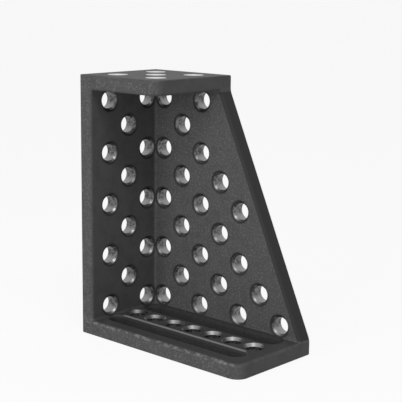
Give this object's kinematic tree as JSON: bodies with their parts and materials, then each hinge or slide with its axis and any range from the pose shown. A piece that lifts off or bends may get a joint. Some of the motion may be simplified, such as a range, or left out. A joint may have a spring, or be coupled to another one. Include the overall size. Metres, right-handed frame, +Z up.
{
  "type": "angle plate",
  "caption": "Hollow cast-iron clamping square for a fixture table: two walls at right angles, one sloped, between slotted base and top plates, all with countersunk bores.",
  "frame": {"origin": "axis of the base plate's middle bore at the base's underside, which is also the middle of the base's outline", "axes": "+Z up from the base to the top plate, +X along the long sloped wall towards its toe, +Y towards the long wall's outer face"},
  "size_m": [0.2, 0.1, 0.25],
  "materials": {
    "cast_iron": "dark neutral grey fine-grained casting with bright machined bores"
  },
  "bodies": {
    "root": {"angle_plate": "cast_iron"}
  },
  "joints": []
}
